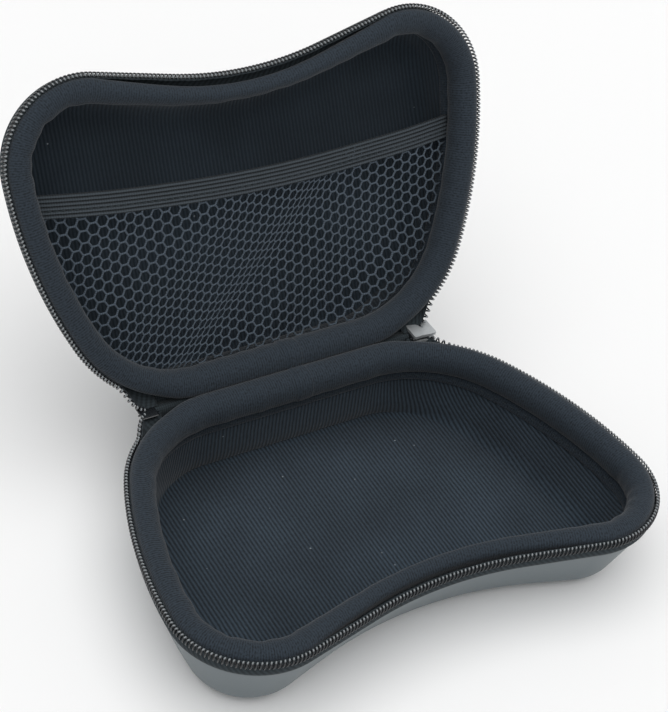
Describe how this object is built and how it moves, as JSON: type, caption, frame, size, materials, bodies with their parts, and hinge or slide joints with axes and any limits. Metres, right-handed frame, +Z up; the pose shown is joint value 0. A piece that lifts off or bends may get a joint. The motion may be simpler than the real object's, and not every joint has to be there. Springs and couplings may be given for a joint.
{
  "type": "controller carrying case",
  "caption": "Zip-round moulded carrying case for a game controller, shown open, with a lined bowl in each half and a net pocket in the lid.",
  "frame": {"origin": "middle of the base's flat underside", "axes": "+Z up; +Y from the notched front to the hinge; +X to the right as seen from the front"},
  "size_m": [0.1794, 0.1819, 0.1353],
  "materials": {
    "shell_skin": "soft moulded skin on foam, satin",
    "knit_lining": "ribbed knit",
    "knit_binding": "brushed knit",
    "zip_tape": "woven polyester",
    "nylon_coil": "smooth nylon",
    "hinge_cloth": "woven polyester",
    "cast_metal": "satin plated zinc casting",
    "pocket_net_yarn": "knitted net",
    "woven_elastic": "ribbed elastic"
  },
  "bodies": {
    "base": {"base_shell": "shell_skin", "base_lining": "knit_lining", "base_binding": "knit_binding", "base_zip_tape": "zip_tape", "base_zip_coil": "nylon_coil", "hinge_strip_base": "hinge_cloth", "zip_tail_left": "nylon_coil", "zip_tail_right": "nylon_coil"},
    "lid": {"lid_shell": "shell_skin", "lid_lining": "knit_lining", "lid_binding": "knit_binding", "lid_zip_tape": "zip_tape", "lid_zip_coil": "nylon_coil", "hinge_strip_lid": "hinge_cloth", "pocket_net": "pocket_net_yarn", "pocket_elastic": "woven_elastic"},
    "slider": {"slider_body": "cast_metal"},
    "tab": {"pull_tab": "cast_metal"}
  },
  "joints": [
    {"name": "lid_hinge", "type": "hinge", "parent": "base", "child": "lid", "pos_m": [0, 0.055, 0.032], "axis": [-1, 0, 0], "range_deg": [-116, 64]},
    {"name": "zip_slider", "type": "slide", "parent": "base", "child": "slider", "axis": [1, 0, 0], "range_m": [0, 0.004]},
    {"name": "tab_swing", "type": "hinge", "parent": "slider", "child": "tab", "pos_m": [0.0548, 0.055, 0.028], "axis": [0, -1, 0], "range_deg": [-10, 90]}
  ]
}
